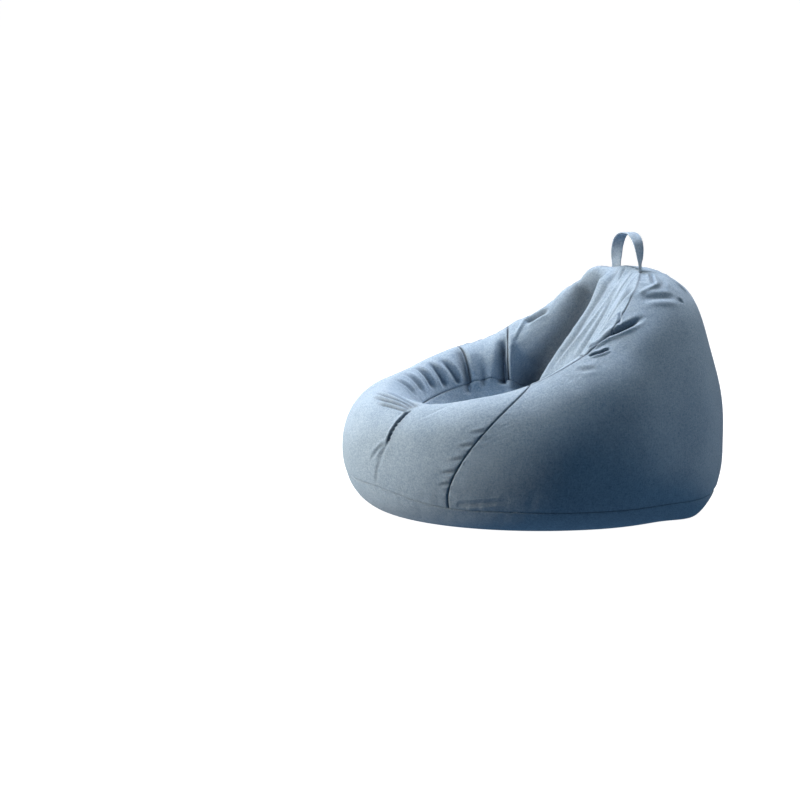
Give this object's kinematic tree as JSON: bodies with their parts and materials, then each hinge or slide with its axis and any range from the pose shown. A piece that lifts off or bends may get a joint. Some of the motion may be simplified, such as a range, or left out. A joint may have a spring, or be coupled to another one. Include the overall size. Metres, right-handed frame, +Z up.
{
  "type": "bean bag chair",
  "caption": "Low bean bag lounge chair with a scooped seat, raised rounded back, sewn fabric cover with a base zip, inner bead liner and a carrying loop on top.",
  "frame": {"origin": "middle of the footprint, on the floor", "axes": "+Z up, -Y towards the front lip that the sitter's legs hang over, +X the sitter's left"},
  "size_m": [0.8198, 0.8998, 0.6344],
  "materials": {
    "cover_fabric": "heathered matt weave",
    "strap_fabric": "folded matt weave",
    "zip_tape": "matt woven tape",
    "zip_teeth": "nylon coil",
    "zip_metal": "satin lacquer",
    "label_fabric": "blank satin ribbon",
    "liner_fabric": "thin matt weave",
    "liner_zip_teeth": "nylon coil",
    "liner_zip_metal": "satin lacquer",
    "beads": "loose white foam beads"
  },
  "bodies": {
    "bag": {"base_panel": "cover_fabric", "front_panel": "cover_fabric", "side_panel_left": "cover_fabric", "side_panel_right": "cover_fabric", "arm_panel_left": "cover_fabric", "arm_panel_right": "cover_fabric", "inner_back_panel": "cover_fabric", "seat_panel": "cover_fabric", "handle_root_tabs": "strap_fabric", "zip_tape_upper": "zip_tape", "zip_tape_lower": "zip_tape", "zip_teeth_upper": "zip_teeth", "zip_teeth_lower": "zip_teeth", "zip_stops": "zip_metal", "care_label": "label_fabric", "liner_top": "liner_fabric", "liner_base": "liner_fabric", "liner_zip_tapes": "liner_fabric", "liner_zip_teeth": "liner_zip_teeth", "bead_fill": "beads"},
    "carry_loop": {"handle_strap": "strap_fabric"},
    "cover_slider": {"zip_slider": "zip_metal"},
    "cover_pull": {"zip_pull_tab": "zip_metal"},
    "liner_slider": {"liner_zip_slider": "liner_zip_metal"}
  },
  "joints": [
    {"name": "loop_flop", "type": "hinge", "parent": "bag", "child": "carry_loop", "pos_m": [-0.0005, 0.23715, 0.55622], "axis": [0.9988, 0, 0.0496], "range_deg": [-70, 70], "stiffness_Nm_per_rad": 0.006},
    {"name": "cover_zip", "type": "hinge", "parent": "bag", "child": "cover_slider", "pos_m": [0, 0.04, 0], "axis": [0, 0, 1], "range_deg": [-71, 0]},
    {"name": "pull_swing", "type": "hinge", "parent": "cover_slider", "child": "cover_pull", "pos_m": [-0.22814, 0.35984, 0.05447], "axis": [0.2483, -0.3481, -0.904], "range_deg": [0, 150]},
    {"name": "liner_zip", "type": "slide", "parent": "bag", "child": "liner_slider", "axis": [1, 0, 0], "range_m": [0, 0.388]}
  ]
}
